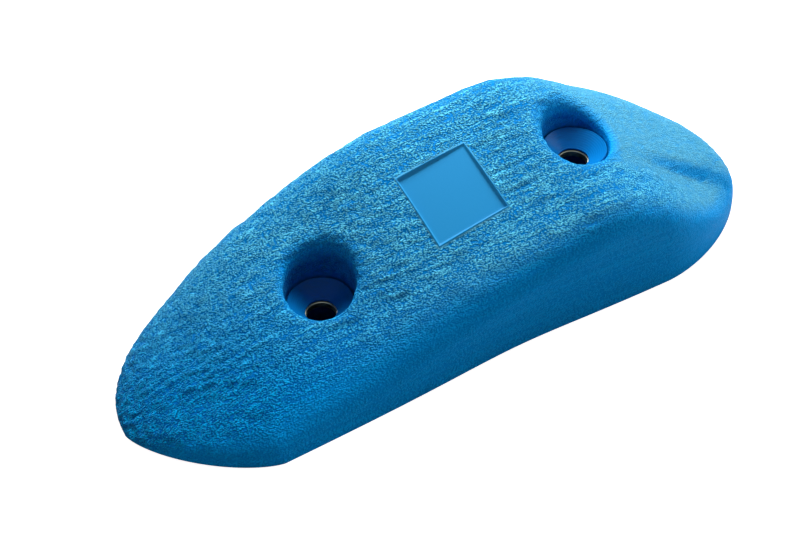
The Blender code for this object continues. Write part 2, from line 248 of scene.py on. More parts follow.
# Light: one softbox close behind and to the right, so that the tail gets more than the nose, a weak one at
# the side for the tail's shoulder, and a white surround that is brightest low down
SOFTBOX_PLACE = (0.079, 0.110, 0.212)
SOFTBOX_SIZE = 0.13
SOFTBOX_POWER = 1.62
SIDE_PLACE = (0.300, -0.100, 0.130)
SIDE_SIZE = 0.20
SIDE_POWER = 0.36
HORIZON_LEVEL = 1.8
ZENITH_LEVEL = 0.15
HORIZON_TOP = 0.40
HORIZON_LEAN = (0.42, 0.48, 0.0)

# White card under the hold, with a disc under each screw hole that lies just above it and is painted dark
# grey as shade
CARD_REACH = 3.0
CARD_GLOW = 0.93
CARD_DROP = 0.0001
DISC_RISE = 0.00005
DISC_SIDES = 32


def eased(value, start, end):
    """Share from 0 at a start to 1 at an end, level outside them, with gentle turns."""
    share = np.clip((value - start) / (end - start), 0.0, 1.0)
    return share * share * (3 - 2 * share)


def closing(distance, run, fullness):
    """Share of the full width at a distance from a tip, along a superellipse quarter of the given run."""
    left = 1.0 - min(max(distance / run, 0.0), 1.0)
    return (1.0 - left ** fullness) ** (1.0 / fullness)


def guide_height(guide, height, x):
    """Smooth curve through the guide points, a Hermite cubic with averaged slopes."""
    share = x / (NOSE_REACH if x < 0 else TAIL_REACH)
    places, heights = (np.array(values) for values in zip(*guide))
    heights = heights * height
    slopes = np.gradient(heights, places)
    i = int(np.clip(np.searchsorted(places, share) - 1, 0, len(places) - 2))
    span = places[i + 1] - places[i]
    t = (share - places[i]) / span
    start = (1 + 2 * t) * (1 - t) ** 2 * heights[i] + t * (1 - t) ** 2 * span * slopes[i]
    return start + t * t * (3 - 2 * t) * heights[i + 1] + t * t * (t - 1) * span * slopes[i + 1]


def front_edge(x):
    """Y of the foot of the front side, with its shallow waist."""
    waist = WAIST_DEPTH / (1 + ((x - WAIST_X) / WAIST_LENGTH) ** 2)
    straight = waist - FRONT_REACH + FRONT_SLANT * x
    if x < WIDEST_X:
        share = closing(x + NOSE_REACH, NOSE_FRONT_RUN, NOSE_FRONT_FULLNESS)
        return NOSE_TIP_Y + (straight - NOSE_TIP_Y) * share
    share = closing(TAIL_REACH - x, TAIL_FRONT_RUN, TAIL_FRONT_FULLNESS)
    return TAIL_TIP_Y + (straight - TAIL_TIP_Y) * share


def back_edge(x):
    """Y of the foot of the back side."""
    if x < WIDEST_X:
        share = closing(x + NOSE_REACH, NOSE_REACH + WIDEST_X, NOSE_BACK_FULLNESS)
        return NOSE_TIP_Y + (BACK_REACH - NOSE_TIP_Y) * share
    share = closing(TAIL_REACH - x, TAIL_REACH - WIDEST_X, TAIL_BACK_FULLNESS)
    return TAIL_TIP_Y + (BACK_REACH - TAIL_TIP_Y) * share


def scoop(x, y):
    """Depth of the tail's scoop over points of the plan."""
    ahead = x - (TAIL_REACH - SCOOP_FROM_TAIL)
    aside = y - SCOOP_Y
    along = ahead * math.cos(SCOOP_TURN) + aside * math.sin(SCOOP_TURN)
    across = aside * math.cos(SCOOP_TURN) - ahead * math.sin(SCOOP_TURN)
    reach = np.where(across > 0, SCOOP_STEEP, SCOOP_GENTLE)
    return SCOOP_DEPTH * np.exp(-((along / SCOOP_LENGTH) ** 2 + (across / reach) ** 2) / 2)


def dish(x, y):
    """Depth by which the top dips behind the near well, towards its lip."""
    ahead = x - SCREWS["near"][0]
    beyond = np.maximum(np.hypot(ahead, y) - lip_reach("near"), 0.0)
    facing = (1 + np.cos(np.arctan2(y, ahead) - DISH_TURN)) / 2
    return DISH_DEPTH * facing * np.exp(-(beyond / DISH_REACH) ** 2)


def unit(vector):
    """The vector at length 1."""
    return vector / max(np.linalg.norm(vector), TINY)


def bezier(start, corner, end, count):
    """Points of a quadratic arc that rounds a corner."""
    t = np.linspace(0.0, 1.0, count)[:, None]
    return start * (1 - t) ** 2 + 2 * corner * t * (1 - t) + end * t * t


def run(start, end, count, bow):
    """Points of a straight run between two others, bowed by a height in its middle, without its ends."""
    t = np.linspace(0.0, 1.0, count + 2)[1:-1, None]
    across = unit(np.array([start[1] - end[1], end[0] - start[0]]))
    return start * (1 - t) + end * t + across * bow * 4 * t * (1 - t)


def travelled(points):
    """Length along a row of points, from its first."""
    return np.concatenate([[0.0], np.cumsum(np.linalg.norm(np.diff(points, axis=0), axis=1))])


def dome(profile, height):
    """Half ellipse on the same feet as a profile, with its points spread as the profile's are."""
    travel = travelled(profile)
    turn = math.pi * travel / max(travel[-1], TINY)
    middle, half = (profile[0, 0] + profile[-1, 0]) / 2, (profile[-1, 0] - profile[0, 0]) / 2
    return np.column_stack([middle - half * np.cos(turn), height * np.sin(turn)])


def nose_to_tail(nose_value, tail_value, x):
    """Value at station x of a size that changes smoothly from the nose half to the tail half."""
    return nose_value + (tail_value - nose_value) * eased(x, -BLEND_LENGTH / 2, BLEND_LENGTH / 2)


def section(x):
    """Outer profile at station x as (y, z) rows, from the front foot over the top to the back foot."""
    rounding = min(closing(x + NOSE_REACH, NOSE_ROUND, ELLIPSE_FULLNESS),
                   closing(TAIL_REACH - x, TAIL_ROUND, ELLIPSE_FULLNESS))
    front = np.array([front_edge(x), 0.0])
    back = np.array([back_edge(x), 0.0])
    shoulder_z = guide_height(SHOULDER_GUIDE, SHOULDER_HEIGHT, x) * rounding
    crown_z = guide_height(CROWN_GUIDE, CROWN_HEIGHT, x) * rounding
    width = back[0] - front[0]
    draft = nose_to_tail(NOSE_FRONT_DRAFT, TAIL_FRONT_DRAFT, x + DRAFT_LEAD)
    shoulder = front + [min(draft * shoulder_z, FRONT_DRAFT_SHARE * width), shoulder_z]
    crown = back + [-min(BACK_DRAFT * crown_z, BACK_DRAFT_SHARE * width), crown_z]
    up, over, down = unit(shoulder - front), unit(crown - shoulder), unit(back - crown)
    top = np.linalg.norm(crown - shoulder)
    front_side, back_side = np.linalg.norm(shoulder - front), np.linalg.norm(back - crown)
    bulge = nose_to_tail(NOSE_TOP_BULGE, TAIL_TOP_BULGE, x)
    cut_front = min(nose_to_tail(NOSE_SHOULDER_DROP, TAIL_SHOULDER_DROP, x), SIDE_ROUND_SHARE * front_side)
    cut_top = min(nose_to_tail(NOSE_SHOULDER_SPREAD, TAIL_SHOULDER_SPREAD, x), SHOULDER_ROUND_SHARE * top)
    cut_back = min(CROWN_ROUND, SIDE_ROUND_SHARE * back_side, CROWN_ROUND_SHARE * top)
    arc_front = bezier(shoulder - up * cut_front, shoulder, shoulder + over * cut_top, SHOULDER_ROWS)
    arc_back = bezier(crown - over * cut_back, crown, crown + down * cut_back, CROWN_ROWS)
    hollow = FRONT_HOLLOW_SHARE * np.linalg.norm(arc_front[0] - front)
    profile = np.vstack([front, run(front, arc_front[0], FRONT_ROWS, -hollow), arc_front,
                         run(arc_front[-1], arc_back[0], TOP_ROWS, bulge * rounding), arc_back,
                         run(arc_back[-1], back, BACK_ROWS, 0.0), back])
    fading = np.minimum(profile[:, 1] / shoulder_z, 1.0) * rounding
    profile[:, 1] -= (scoop(x, profile[:, 0]) + dish(x, profile[:, 0])) * fading
    to_tip = min((x + NOSE_REACH) / NOSE_DOME, (TAIL_REACH - x) / TAIL_DOME, 1.0)
    domed = (1 - to_tip) ** 2
    return profile * (1 - domed) + dome(profile, DOME_HEIGHT_SHARE * crown_z) * domed


def surface_height(x, y):
    """Height of the outer surface over a point of the plan."""
    profile = section(x)
    return float(np.interp(y, profile[:, 0], profile[:, 1]))


def stations():
    """X of each section, evenly spaced along the outline, so that they crowd where the ends turn."""
    turn = np.linspace(0.0, math.pi, OUTLINE_SAMPLES)
    fine = -NOSE_REACH + (NOSE_REACH + TAIL_REACH) * (1 - np.cos(turn)) / 2
    outline = np.array([[x, (back_edge(x) - front_edge(x)) / 2] for x in fine])
    travel = travelled(outline)
    return np.interp(np.linspace(0.0, travel[-1], STATIONS), travel, fine)


class SkinMesh:
    """Points and faces of the skin. Each point has its share of grain, its place on the flat pattern and
    its painted light and shade: 1 on the lit top, painted paler, 0 where the colour is the deep blue of
    painted shade, and below 0 on the walls of the wells, painted darker still as shade."""

    def __init__(self):
        """A skin without points or faces."""
        self.points = []
        self.grain = []
        self.painted_light_and_shade = []
        self.pattern = []
        self.faces = []
        self.finishes = []

    def add(self, x, y, z, grain, painted_light_and_shade, pattern):
        """Adds a point and gives its number."""
        self.points.append((x, y, z))
        self.grain.append(grain)
        self.painted_light_and_shade.append(painted_light_and_shade)
        self.pattern.append(pattern)
        return len(self.points) - 1

    def face(self, corners, finish=GRAINED):
        """Adds a face between numbered points."""
        self.faces.append(corners)
        self.finishes.append(finish)

    def join(self, lower, upper, finish=GRAINED):
        """Quads between two closed rings of equal length."""
        for k in range(len(lower)):
            n = (k + 1) % len(lower)
            self.face((lower[k], lower[n], upper[n], upper[k]), finish)


def lip_reach(side):
    """Radius at which the lip of a well meets the outer surface."""
    return WELL_RADIUS + WELL_TAPER + LIP_RADIUS[side]


def patch_loop(grid, xs, sections, centre, reach):
    """Index rectangle of the grid that clears a square of the given reach round a centre, and its loop."""
    columns = [i for i, x in enumerate(xs) if abs(x - centre) < reach]
    first, last = columns[0] - 1, columns[-1] + 1
    rows = [j for i in range(first, last + 1) for j, (y, _) in enumerate(sections[i]) if abs(y) < reach]
    low, high = min(rows) - 1, max(rows) + 1
    loop = [grid[i][low] for i in range(first, last)] + [grid[last][j] for j in range(low, high)]
    loop += [grid[i][high] for i in range(last, first, -1)] + [grid[first][j] for j in range(high, low, -1)]
    return (first, last, low, high), loop


def blend_rings(skin, loop, places, patterns, count):
    """Rings that lead from a loop of the grid to other places of the plan, all on the surface."""
    rings = [loop]
    for k in range(1, count + 1):
        share = k / count
        ring = []
        for vertex, (x, y), (u, v) in zip(loop, places, patterns):
            px = skin.points[vertex][0] * (1 - share) + x * share
            py = skin.points[vertex][1] * (1 - share) + y * share
            pu = skin.pattern[vertex][0] * (1 - share) + u * share
            pv = skin.pattern[vertex][1] * (1 - share) + v * share
            ring.append(skin.add(px, py, surface_height(px, py), float(tail_grain(px, py)),
                                 float(painted_light_share(px, py)), (pu, pv)))
        rings.append(ring)
    return rings


def loop_centre(skin, loop):
    """Middle of a loop on the flat pattern."""
    return np.mean([skin.pattern[v] for v in loop], axis=0)


def well_levels(side, around):
    """Rings of a well, as (radius, heights, share of grain, painted light and shade): its round lip, its
    wall, and the stepped bore that holds the cup and the washer. The lip loses the top's painted light, and
    the wall is painted darker as shade."""
    centre, seat_height = SCREWS[side]
    lip = LIP_RADIUS[side]
    lit_share = float(painted_light_share(centre, 0.0))
    levels = []
    heights = []
    for k in range(1, LIP_RINGS + 1):
        share = k / LIP_RINGS
        turn = share * math.pi / 2
        radius = lip_reach(side) - lip * math.sin(turn)
        tops = [surface_height(centre + radius * c, radius * s) for c, s in around]
        heights = [top - min(lip, top - seat_height - LIP_LAND) * (1 - math.cos(turn)) for top in tops]
        levels.append((radius, heights, 1 - (1 - WALL_GRAIN) * share, (1 - share) ** 2 * lit_share))
    steps = max(2, round((np.mean(heights) - seat_height) / GRID_STEP))
    for k in range(1, steps + 1):
        share = k / steps
        wall = [height * (1 - share) + seat_height * share for height in heights]
        # The wall is painted darker as shade towards the seat
        levels.append((WELL_RADIUS + WELL_TAPER * (1 - share), wall,
                       WALL_GRAIN * min(1.0, (1 - share) / WALL_GRAIN_FADE),
                       -WALL_PAINTED_SHADE[side] * min(1.0, share / WALL_PAINTED_SHADE_FADE)))
    ledge = seat_height - CUP_HEIGHT - CLEARANCE
    pocket = WASHER_RADIUS + CLEARANCE
    floor = ledge - WASHER_THICKNESS - CLEARANCE
    for radius, height in ((WELL_RADIUS, ledge), (pocket, ledge), (pocket, floor),
                           (SHANK_HOLE / 2, floor), (SHANK_HOLE / 2, 0.0)):
        levels.append((radius, [height] * len(around), 0.0, 0.0))
    return levels


def add_well(skin, loop, side):
    """A well, ring by ring, from the loop of the grid that was cleared for it."""
    centre, reach = SCREWS[side][0], lip_reach(side)
    own = np.unwrap([math.atan2(skin.points[v][1], skin.points[v][0] - centre) for v in loop])
    even = np.arange(len(loop)) * 2 * math.pi / len(loop)
    angles = even + (own - even).mean()
    around = np.column_stack([np.cos(angles), np.sin(angles)])
    softening = [float(tail_grain(centre + reach * c, reach * s)) for c, s in around]
    levels = well_levels(side, around)
    middle = loop_centre(skin, loop)
    rings = blend_rings(skin, loop, [(centre + reach * c, reach * s) for c, s in around],
                        middle + around * reach, PATCH_RINGS)
    for k, (radius, level, grain, painted_light_and_shade) in enumerate(levels, 1):
        shrunk = reach * (1 - k / (len(levels) + 1))
        rings.append([skin.add(centre + radius * c, radius * s, height, grain * soft, painted_light_and_shade,
                               (middle[0] + shrunk * c, middle[1] + shrunk * s))
                      for (c, s), height, soft in zip(around, level, softening)])
    for k, (lower, upper) in enumerate(zip(rings, rings[1:]), 1):
        skin.join(lower, upper, DRILLED if k >= len(rings) - BORE_RINGS else GRAINED)


def pad_axes():
    """Centre of the pad's plane, its two edges' directions and its outward normal."""
    half = PAD_SIDE / 2
    left_front, right_front = surface_height(-half, -half), surface_height(half, -half)
    left_back, right_back = surface_height(-half, half), surface_height(half, half)
    slope_x = (right_front + right_back - left_front - left_back) / (2 * PAD_SIDE)
    slope_y = (left_back + right_back - left_front - right_front) / (2 * PAD_SIDE)
    normal = unit(np.array([-slope_x, -slope_y, 1.0]))
    along = unit(np.array([normal[2], 0.0, -normal[0]]))
    height = (left_front + right_front + left_back + right_back) / 4
    return np.array([0.0, 0.0, height]), along, np.cross(normal, along), normal


def add_pad(skin, loop, counts):
    """Raised lip, sloping wall and flat floor of the square pad, in square rings from the grid inwards."""
    centre, along, aside, normal = pad_axes()
    columns, rows = counts
    across, up = np.linspace(-1, 1, columns + 1), np.linspace(-1, 1, rows + 1)
    shares = [(a, -1.0) for a in across[:-1]] + [(1.0, b) for b in up[:-1]]
    shares += [(a, 1.0) for a in across[:0:-1]] + [(-1.0, b) for b in up[:0:-1]]
    shares = np.array(shares)
    middle = loop_centre(skin, loop)

    def on_plane(half, depth):
        """Points of a square ring of the given half side, at a depth under the pad's plane."""
        return [centre + along * a * half + aside * b * half - normal * depth for a, b in shares]

    outer = PAD_SIDE / 2 + PAD_LIP_WIDTH
    rings = blend_rings(skin, loop, [tuple(p[:2]) for p in on_plane(outer, 0.0)], middle + shares * outer,
                        PAD_PATCH_RINGS)
    grained = len(rings) - 1
    for vertex in rings[-1]:
        skin.grain[vertex] = 0.0
    for k in range(1, PAD_LIP_RINGS + 1):
        share = k / PAD_LIP_RINGS
        half = outer - PAD_LIP_WIDTH * share
        raised = PAD_LIP_HEIGHT * math.sin(math.pi * share)
        rings.append([skin.add(p[0], p[1], surface_height(p[0], p[1]) + raised, 0.0, 1.0,
                               tuple(middle + s * half))
                      for p, s in zip(on_plane(half, 0.0), shares)])
    floor_half = PAD_SIDE / 2 - PAD_WALL_WIDTH
    steps = round(floor_half / GRID_STEP)
    flat = [(floor_half + outside * PAD_WALL_WIDTH, down * PAD_DEPTH) for outside, down in PAD_FOOT]
    flat += [(floor_half * (1 - k / steps), PAD_DEPTH) for k in range(1, steps)]
    for half, depth in flat:
        rings.append([skin.add(*p, 0.0, 1.0, tuple(middle + s * half))
                      for p, s in zip(on_plane(half, depth), shares)])
    for k, (lower, upper) in enumerate(zip(rings, rings[1:])):
        skin.join(lower, upper, POLISHED if k >= grained else GRAINED)
    hub = skin.add(*(centre - normal * PAD_DEPTH), 0.0, 1.0, tuple(middle))
    last = rings[-1]
    for k in range(len(last)):
        skin.face((last[k], last[(k + 1) % len(last)], hub), POLISHED)


def tail_grain(x, y):
    """Share of grain over points of the plan: the skin softens towards the tail, sooner behind the scoop."""
    behind = np.clip((y - SCOOP_Y) / TAIL_SIDE_WIDTH + 0.5, 0.0, 1.0)
    start = TAIL_FRONT_FROM + (TAIL_BACK_FROM - TAIL_FRONT_FROM) * behind
    end = TAIL_FRONT_TO + (TAIL_BACK_TO - TAIL_FRONT_TO) * behind
    return 1 - (1 - TAIL_GRAIN) * eased(x, start, end)


def painted_light_share(x, y):
    """Share of the paler colour over points of the plan, painted light on the lit top: the low front of the
    nose, which is in shade, keeps the deep one as painted shade."""
    return eased(x + NOSE_DEEP_SLANT * y, NOSE_DEEP_FROM, NOSE_DEEP_TO)


def front_fade(x, profile, travel):
    """Share of the top's finish along a section, its grain and its painted light: none on the shaded front
    side, full over the top and the back.
    """
    middle = 1 + FRONT_ROWS + SHOULDER_ROWS // 2
    above = min(nose_to_tail(NOSE_FADE, TAIL_FADE, x), FADE_SHARE * profile[middle, 1])
    below = nose_to_tail(NOSE_FADE_BELOW, TAIL_FADE_BELOW, x)
    return eased(travel - travel[middle], -below, above)


def front_lean_shade(profile):
    """Share of the painted light that a section's points lose to painted shade: more where they lean to the
    front, away from the light.
    """
    steps = np.gradient(profile, axis=0)
    lean = steps[:, 1] / np.maximum(np.linalg.norm(steps, axis=1), TINY)
    return eased(lean, SHADE_LEAN_FROM, SHADE_LEAN_TO)


def make_skin_mesh():
    """Skin of the body: lofted sections with both wells and the pad, open at the back."""
    skin = SkinMesh()
    xs = stations()[1:-1]
    sections = [section(x) for x in xs]
    grid = []
    for i, (x, profile) in enumerate(zip(xs, sections)):
        travel = travelled(profile)
        fade = front_fade(x, profile, travel)
        grain = (FRONT_GRAIN + (1 - FRONT_GRAIN) * fade) * tail_grain(x, profile[:, 0])
        # The colour is painted paler where light falls on the top, and painted deep blue as shade on the
        # front side
        painted_light_and_shade = fade * painted_light_share(x, profile[:, 0]) * (1 - front_lean_shade(profile))
        grid.append([skin.add(x, y, z, share, lit_share, (i * GRID_STEP, t - travel[-1] / 2))
                     for (y, z), share, lit_share, t in zip(profile, grain, painted_light_and_shade, travel)])
    nose = skin.add(-NOSE_REACH, NOSE_TIP_Y, 0.0, 0.0, 0.0, (-GRID_STEP, 0.0))
    tail = skin.add(TAIL_REACH, TAIL_TIP_Y, 0.0, 0.0, 0.0, (len(xs) * GRID_STEP, 0.0))
    cleared = []
    for side, (centre, _) in SCREWS.items():
        bounds, loop = patch_loop(grid, xs, sections, centre, lip_reach(side) + PATCH_MARGIN)
        cleared.append(bounds)
        add_well(skin, loop, side)
    bounds, loop = patch_loop(grid, xs, sections, 0.0, PAD_SIDE / 2 + PAD_LIP_WIDTH + PAD_MARGIN)
    cleared.append(bounds)
    add_pad(skin, loop, (bounds[1] - bounds[0], bounds[3] - bounds[2]))
    rows = len(sections[0])
    for i in range(len(xs) - 1):
        for j in range(rows - 1):
            if not any(a <= i < b and c <= j < d for a, b, c, d in cleared):
                skin.face((grid[i][j], grid[i + 1][j], grid[i + 1][j + 1], grid[i][j + 1]))
    for j in range(rows - 1):
        skin.face((nose, grid[0][j], grid[0][j + 1]))
        skin.face((tail, grid[-1][j + 1], grid[-1][j]))
    return skin


def lattice_noise(points):
    """Gradient noise, about -1 to 1, at points given in steps of its lattice."""
    cell = np.floor(points).astype(np.int64)
    within = points - cell
    fade = within ** 3 * (within * (within * 6 - 15) + 10)
    total = np.zeros(len(points))
    for corner in itertools.product((0, 1), repeat=3):
        at = cell + corner
        mixed = np.bitwise_xor.reduce(at * LATTICE_FACTORS, axis=1)
        mixed = (mixed ^ (mixed >> 13)) * LATTICE_STIR
        around = (mixed & 0xFFFF) / 0xFFFF * 2 * math.pi
        height = ((mixed >> 16) & 0xFFFF) / 0xFFFF * 2 - 1
        flat = np.sqrt(1 - height ** 2)
        slope = np.column_stack([np.cos(around) * flat, np.sin(around) * flat, height])
        weight = np.prod(np.where(corner, fade, 1 - fade), axis=1)
        total += weight * ((within - corner) * slope).sum(axis=1)
    return total * LATTICE_GAIN


def furrows(points):
    """Height, about -1 to 1, of the long shallow furrows of the shaping over points of the skin."""
    x, y = points[:, 0], points[:, 1]
    ahead = x * math.cos(STREAK_TURN) + y * math.sin(STREAK_TURN)
    aside = y * math.cos(STREAK_TURN) - x * math.sin(STREAK_TURN)
    stretched = np.column_stack([ahead / FURROW_LENGTH, aside / FURROW_PITCH, points[:, 2] / FURROW_PITCH])
    return lattice_noise(stretched + FURROW_SHIFT)


def relief(points):
    """Height of the lumps, the coarse grain and the furrows over points of the skin."""
    lumps = lattice_noise(points / LUMP_WIDTH)
    coarse = lattice_noise(points / COARSE_GRAIN_WIDTH + COARSE_SHIFT)
    return LUMP_HEIGHT * lumps + COARSE_GRAIN_HEIGHT * coarse + FURROW_DEPTH * furrows(points)


def lay_pattern(mesh, pattern):
    """Flat pattern of the skin, a map named OFBake: the loft unrolled, with the flat back laid beside it."""
    layer = mesh.uv_layers.new(name="OFBake")
    corners = np.zeros(len(mesh.loops), dtype=np.int32)
    mesh.loops.foreach_get("vertex_index", corners)
    places = np.array(pattern)[corners]
    beside = places[:, 1].min() - BACK_REACH - PATTERN_GAP
    for face in mesh.polygons:
        if face.normal.z < BACK_FACING and face.center.z < TINY:
            for loop in face.loop_indices:
                x, y, _ = mesh.vertices[corners[loop]].co
                places[loop] = (x + NOSE_REACH, y + beside)
    places -= places.min(axis=0)
    layer.data.foreach_set("uv", (places / places.max()).astype(np.float32).ravel())


def make_skin(finishes):
    """The body as one closed mesh, with its relief raised along the normals."""
    skin = make_skin_mesh()
    mesh = bpy.data.meshes.new("grained_body")
    mesh.from_pydata(skin.points, [], skin.faces)
    for material in finishes:
        mesh.materials.append(material)
    mesh.polygons.foreach_set("material_index", np.array(skin.finishes, dtype=np.int32))
    bm = bmesh.new()
    bm.from_mesh(mesh)
    open_edges = [edge for edge in bm.edges if edge.is_boundary]
    bmesh.ops.triangle_fill(bm, use_beauty=True, edges=open_edges, normal=(0.0, 0.0, -1.0))
    bmesh.ops.recalc_face_normals(bm, faces=bm.faces)
    bm.to_mesh(mesh)
    bm.free()
    points = np.array(skin.points)
    normals = np.zeros(len(points) * 3)
    mesh.vertex_normals.foreach_get("vector", normals)
    share = np.array(skin.grain) * np.clip(points[:, 2] / RELIEF_FOOT, 0.0, 1.0)
    raised = points + normals.reshape(-1, 3) * (relief(points) * share)[:, None]
    lay_pattern(mesh, skin.pattern)
    mesh.vertices.foreach_set("co", raised.ravel())
    # The painted light is lower in the furrows and higher on their ridges: painted shade in the furrows
    painted_light_and_shade = np.clip(np.array(skin.painted_light_and_shade) * (1 + FURROW_TINT * furrows(points)), -1.0, 1.0)
    for name, shares in (("grain", skin.grain), ("painted_light_and_shade", painted_light_and_shade)):
        layer = mesh.attributes.new(name, "FLOAT", "POINT")
        layer.data.foreach_set("value", np.array(shares, dtype=np.float32))
    mesh.shade_smooth()
    mesh.set_sharp_from_angle(angle=SKIN_SHARP_ANGLE)
    mesh.update()
    piece = bpy.data.objects.new("grained_body", mesh)
    bpy.context.collection.objects.link(piece)
    return piece


def lathe(name, profile, centre, steps, material):
    """Closed (radius, height) profile turned round a screw's axis, with the object's origin on that axis."""
    bm = bmesh.new()
    loop = [bm.verts.new((radius, 0.0, height)) for radius, height in profile]
    edges = [bm.edges.new((a, b)) for a, b in zip(loop, loop[1:] + loop[:1])]
    bmesh.ops.spin(bm, geom=loop + edges, cent=(0.0, 0.0, 0.0), axis=(0.0, 0.0, 1.0),
                   angle=2 * math.pi, steps=steps, use_merge=True)
    bmesh.ops.recalc_face_normals(bm, faces=bm.faces)
    mesh = bpy.data.meshes.new(name)
    bm.to_mesh(mesh)
    bm.free()
    mesh.shade_smooth()
    mesh.set_sharp_from_angle(angle=TURNED_SHARP_ANGLE)
    mesh.materials.append(material)
    piece = bpy.data.objects.new(name, mesh)
    piece.location = (centre, 0.0, 0.0)
    bpy.context.collection.objects.link(piece)
    return piece


def make_cup(side, material):
    """Conical seat with a rounded rim and the fine steps that its turned mould left."""
    centre, seat_height = SCREWS[side]
    under = seat_height - CUP_HEIGHT
    mouth, throat = CONE_MOUTH / 2, WASHER_HOLE / 2 + WASHER_SHOW
    profile = [(CUP_RADIUS, under)]
    for turn in np.linspace(0.0, math.pi / 2, CUP_RIM_POINTS):
        profile.append((mouth + (CUP_RADIUS - mouth) * math.cos(turn),
                        seat_height - CUP_RIM_ROUND * (1 - math.sin(turn))))
    steps = CUP_RINGS * CUP_RING_POINTS
    for k in range(1, steps):
        share = k / steps
        dip = CUP_RING_DEPTH * (1 - math.cos(2 * math.pi * k / CUP_RING_POINTS)) / 2
        profile.append((mouth + (throat - mouth) * share + dip, seat_height - CONE_DEPTH * share))
    profile += [(throat, seat_height - CONE_DEPTH), (throat, under)]
    return lathe(f"{side}_turned_seat", profile, centre, CUP_SIDES, material)


def make_washer(side, material):
    """Pressed washer: its hole's edge is broken where it shows under the seat."""
    centre, _ = SCREWS[side]
    low, high = WASHERS[side][0].z, WASHERS[side][1].z
    inner, outer, edge = WASHER_HOLE / 2, WASHER_RADIUS, WASHER_EDGE
    profile = [(inner, low), (outer - edge, low), (outer, low + edge), (outer, high - edge),
               (outer - edge, high), (inner + edge, high), (inner, high - edge)]
    return lathe(f"{side}_pressed_washer", profile, centre, WASHER_SIDES, material)


def srgb(colour):
    """Linear colour of an sRGB hex value."""
    shares = [int(colour[k:k + 2], 16) / 255 for k in (1, 3, 5)]
    return (*(s / 12.92 if s <= 0.04045 else ((s + 0.055) / 1.055) ** 2.4 for s in shares), 1.0)


def node(tree, kind, inputs=None, **settings):
    """Adds a node with its settings; an input takes a value or another node's output."""
    made = tree.nodes.new(kind)
    for name, value in settings.items():
        setattr(made, name, value)
    for socket, value in (inputs or {}).items():
        if isinstance(value, bpy.types.NodeSocket):
            tree.links.new(value, made.inputs[socket])
        else:
            made.inputs[socket].default_value = value
    return made


def blank_material(name):
    """A material without nodes, and its tree."""
    material = bpy.data.materials.new(name)
    material.use_nodes = True
    material.node_tree.nodes.clear()
    return material, material.node_tree


